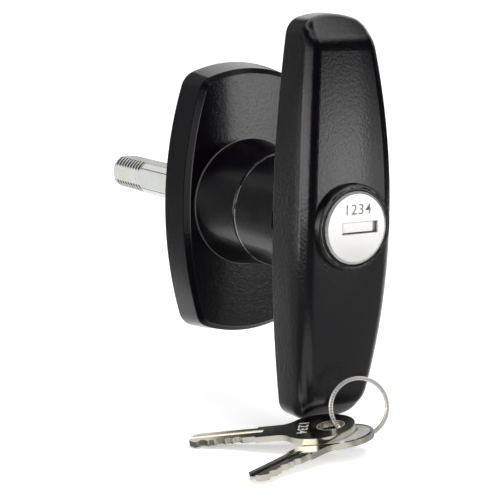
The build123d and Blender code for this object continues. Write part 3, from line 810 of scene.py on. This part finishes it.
def figures(name, body, place, material):
    """Stamped figures, fitted to their real width and height on the plane of place."""
    text = bpy.data.curves.new(name, "FONT")
    text.body = FIGURES
    text.align_x = "CENTER"
    text.align_y = "CENTER"
    text.size = FIGURES_HEIGHT
    text.extrude = FIGURES_PROUD
    text.space_character = FIGURES_SPACING
    text.offset = FIGURES_BOLD
    text.resolution_u = FIGURES_RESOLUTION
    text.materials.append(material)
    obj = bpy.data.objects.new(name, text)
    bpy.context.scene.collection.objects.link(obj)
    bpy.context.view_layer.update()
    wide = FIGURES_WIDTH / obj.dimensions.x
    tall = FIGURES_HEIGHT / obj.dimensions.y
    obj.matrix_world = place @ Matrix.Diagonal((wide, tall, 1, 1))
    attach(obj, body)


def face_plane():
    """A frame on the lock face: x to the right, y up, z out of the face."""
    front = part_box("plug_face_cap")[0].y
    return Matrix(((1, 0, 0, 0), (0, 0, -1, front), (0, 1, 0, 0), (0, 0, 0, 1)))


def face_figures():
    place = face_plane() @ Matrix.Translation((*FACE_FIGURES_AT, 0))
    figures("face_figures", "plug", place, MATERIALS["stamp"])


def key_figures():
    for key in KEYS:
        place = key_frame(key) @ Matrix.Translation((*KEY_FIGURES_AT, KEY_THICKNESS / 2)) @ turn("Z", -90)
        figures(key + "_figures", key, place, MATERIALS["key_stamp"])


def window_lip():
    """The burr round the key window, a thin darker line."""
    plane = face_plane()
    bm = bmesh.new()

    def loop(grow, level):
        half_x, half_y = WINDOW_WIDTH / 2 + grow, WINDOW_HEIGHT / 2 + grow
        points = [(WINDOW_OFFSET + i * half_x, j * half_y, level) for i, j in CORNERS]
        return [bm.verts.new(plane @ Vector(point)) for point in points]

    section = [
        loop(0.0, WINDOW_LINE_PROUD), loop(WINDOW_LINE, WINDOW_LINE_PROUD),
        loop(WINDOW_LINE, -WINDOW_LINE_SUNK), loop(0.0, -WINDOW_LINE_SUNK),
    ]
    for one, two in zip(section, section[1:] + section[:1]):
        for i in range(len(CORNERS)):
            j = (i + 1) % len(CORNERS)
            bm.faces.new((one[i], one[j], two[j], two[i]))
    bmesh.ops.recalc_face_normals(bm, faces=bm.faces)
    obj = mesh_object("window_lip", bm, MATERIALS["stamp"], smooth=False)
    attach(obj, "plug")


def camera():
    back = Vector((
        math.sin(VIEW_AZIMUTH) * math.cos(VIEW_ELEVATION),
        -math.cos(VIEW_AZIMUTH) * math.cos(VIEW_ELEVATION),
        math.sin(VIEW_ELEVATION),
    ))
    right = Vector((math.cos(VIEW_AZIMUTH), math.sin(VIEW_AZIMUTH), 0))
    up = back.cross(right)
    rolled_right = right * math.cos(VIEW_ROLL) - up * math.sin(VIEW_ROLL)
    rolled_up = up * math.cos(VIEW_ROLL) + right * math.sin(VIEW_ROLL)
    data = bpy.data.cameras.new("camera")
    data.lens = LENS_MM
    data.sensor_width = SENSOR_MM
    data.sensor_height = SENSOR_MM
    data.sensor_fit = "HORIZONTAL"
    data.clip_start = CLIP_START
    data.clip_end = CLIP_END
    obj = bpy.data.objects.new("camera", data)
    bpy.context.scene.collection.objects.link(obj)
    facing = Matrix((rolled_right, rolled_up, back)).transposed().to_4x4()
    obj.matrix_world = Matrix.Translation(VIEW_AIM + back * VIEW_DISTANCE) @ facing
    bpy.context.scene.camera = obj


def area_light(name, place, aim, width, height, power):
    """A soft lamp that lights the surfaces; what they mirror are the tent and the cards."""
    light = bpy.data.lights.new(name, "AREA")
    light.shape = "RECTANGLE"
    light.size = width
    light.size_y = height
    light.energy = power
    obj = bpy.data.objects.new(name, light)
    bpy.context.scene.collection.objects.link(obj)
    obj.location = place
    obj.rotation_euler = (Vector(aim) - Vector(place)).to_track_quat("-Z", "Y").to_euler()
    obj.visible_glossy = False


def reflected_only(obj):
    for ray in ("camera", "diffuse", "transmission", "volume_scatter", "shadow"):
        setattr(obj, "visible_" + ray, False)


def tent():
    """A soft studio tent: bright panels right, left, behind and overhead, dark between them."""
    bm = bmesh.new()
    around, upward = TENT_SEGMENTS
    bmesh.ops.create_uvsphere(bm, u_segments=around, v_segments=upward, radius=TENT_RADIUS)
    s = Shader("tent_cloth")
    x, y, z = s.xyz()
    degrees = 180 / math.pi
    azimuth = s.product(s.math("ARCTAN2", x, s.product(y, -1.0)), degrees)
    elevation = s.product(s.math("ARCSINE", s.math("DIVIDE", z, TENT_RADIUS)), degrees)
    right = s.product(s.band(azimuth, *RIGHT_BAND), s.span(elevation, *RIGHT_GRADE))
    right = s.product(right, s.span(elevation, *RIGHT_FADE))
    left = s.product(s.band(azimuth, *LEFT_BAND), s.span(elevation, *LEFT_GRADE))
    left = s.product(left, s.span(elevation, *LEFT_FADE))
    back = s.product(s.span(azimuth, *BACK_GRADE), s.span(elevation, *BACK_HEIGHT_GRADE))
    behind = s.product(s.band(azimuth, *BEHIND_BAND), s.band(elevation, *BEHIND_HEIGHT_BAND), BEHIND_LEVEL)
    top = s.product(s.band(elevation, *TOP_BAND), TOP_LEVEL)
    patch = s.product(s.band(elevation, *PATCH_HEIGHT_BAND), s.band(azimuth, *PATCH_BAND), PATCH_LEVEL)
    level = s.total(right, left, back, behind, top, patch, TENT_DARK)
    dome = mesh_object("tent", bm, s.close(s.emit(level)))
    dome.location = TENT_CENTRE
    reflected_only(dome)


def flag(name, centre, across, width, height, levels):
    """An upright flat studio flag; its level runs through levels along across."""
    bm = bmesh.new()
    side = Vector(across).normalized()
    half_across, half_up = side * width / 2, Vector((0, 0, height / 2))
    corners = [Vector(centre) + i * half_across + j * half_up for i, j in CORNERS]
    bm.faces.new([bm.verts.new(corner) for corner in corners])
    s = Shader(name)
    along = s.node("ShaderNodeVectorMath", 1, {"operation": "DOT_PRODUCT"}, i0=s.coords, i1=tuple(side))
    middle = Vector(centre).dot(side)
    place = s.span(along, middle - width / 2, middle + width / 2)
    stops = [(k / (len(levels) - 1), level) for k, level in enumerate(levels)]
    cloth = s.close(s.emit(s.ramp(place, stops)))
    reflected_only(mesh_object(name, bm, cloth, smooth=False))


def seen_directly(nodes, links):
    """1 for rays from the camera, and for mirrored and transmitted ones."""
    path = nodes.new("ShaderNodeLightPath")
    seen = path.outputs["Is Camera Ray"]
    for name in ("Is Glossy Ray", "Is Transmission Ray"):
        node = nodes.new("ShaderNodeMath")
        node.operation = "MAXIMUM"
        links.new(seen, node.inputs[0])
        links.new(path.outputs[name], node.inputs[1])
        seen = node.outputs[0]
    return seen


def mirrored_floor(s):
    """The floor's level as the object mirrors it: bright before the keys, darker round them, with a painted
    shadow at the grip's foot.
    """
    x, y, _ = s.xyz()
    across_x, across_y = MIRROR_ACROSS
    beside = s.total(s.product(x, across_x), s.product(y, across_y))
    behind = s.span(beside, *MIRROR_BEHIND_GRADE)
    left = s.span(s.distance(MIRROR_KEYS_AT), *MIRROR_KEYS_GRADE)
    right = s.span(x, *MIRROR_RIGHT_EDGE)
    front = s.total(s.product(right, MIRROR_RIGHT_LEVEL), s.product(s.inverse(right), left))
    # Painted shadow: the mirrored floor darker near the grip's foot
    foot_shadow = s.span(s.distance(MIRROR_FOOT_AT), *MIRROR_FOOT_SHADOW_GRADE)
    ahead = s.span(y, *MIRROR_AHEAD_EDGE)
    return s.total(s.product(ahead, front, foot_shadow), s.product(s.inverse(ahead), behind))


def floor_paper():
    """White paper that keeps the object's shadow and glows only for rays that see it directly."""
    bm = bmesh.new()
    bmesh.ops.create_circle(bm, cap_ends=True, segments=FLOOR_SEGMENTS, radius=FLOOR_RADIUS)
    s = Shader("floor_paper")
    paper = s.node("ShaderNodeBsdfDiffuse", 0, Color=FLOOR_COLOUR, Roughness=FLOOR_ROUGHNESS)
    away = s.node("ShaderNodeVectorMath", 1, {"operation": "LENGTH"}, i0=s.coords)
    glow = s.emit(s.product(seen_directly(s.nodes, s.links), s.span(away, *FLOOR_GLOW_GRADE)))
    lit = s.node("ShaderNodeAddShader", 0, i0=paper, i1=glow)
    mirrored = s.node("ShaderNodeLightPath", "Is Glossy Ray")
    shown = s.node("ShaderNodeMixShader", 0, i0=mirrored, i1=lit, i2=s.emit(mirrored_floor(s)))
    floor = mesh_object("floor", bm, s.close(shown), smooth=False)
    floor.location = (0, 0, cad_box[0].z - FLOOR_GAP)


def background():
    """White for rays that see it directly, dimmer as a light."""
    world = bpy.data.worlds.new("studio")
    bpy.context.scene.world = world
    world.use_nodes = True
    nodes, links = world.node_tree.nodes, world.node_tree.links
    nodes.clear()
    out = nodes.new("ShaderNodeOutputWorld")
    sky = nodes.new("ShaderNodeBackground")
    level = nodes.new("ShaderNodeMapRange")
    links.new(seen_directly(nodes, links), level.inputs["Value"])
    level.inputs["To Min"].default_value = WORLD_LEVEL
    level.inputs["To Max"].default_value = WORLD_SEEN_LEVEL
    links.new(level.outputs[0], sky.inputs["Strength"])
    sky.inputs["Color"].default_value = WHITE
    links.new(sky.outputs[0], out.inputs["Surface"])


def lamps():
    area_light("top_lamp", place=(0.1, -0.3, 0.9), aim=(0, -0.03, 0), width=0.8, height=0.8, power=6.0)
    area_light("left_lamp", place=(-0.7, -0.5, 0.2), aim=(0, -0.04, 0), width=0.5, height=0.6, power=2.0)
    area_light("right_lamp", place=(0.6, -0.9, 0.3), aim=(0, -0.04, 0), width=0.6, height=0.6, power=3.0)


def cards():
    """Cards close to the object that its left sides mirror."""
    flag(
        "flag_back_left", centre=(-0.175, 0.14, 0.04), across=(1, 0.3, 0), width=0.15, height=0.22,
        levels=(0.5, 0.3, 0.12, 0.09, 0.09, 0.28, 0.45),
    )
    flag(
        "flag_back_low", centre=(-0.114, 0.153, -0.035), across=(1, 0.3, 0), width=0.04, height=0.05,
        levels=(0.9, 0.9),
    )
    flag(
        "card_left", centre=(-0.06, -0.018, 0.013), across=(0, 1, 0), width=0.038, height=0.068,
        levels=(3.0, 2.0, 0.8, 0.2, 0.05),
    )


camera()
floor_paper()
background()
lamps()
tent()
cards()
bpy.context.scene.view_settings.view_transform = "Standard"
dress_nodes()
threaded_spindle()
split_ring()
face_figures()
key_figures()
window_lip()
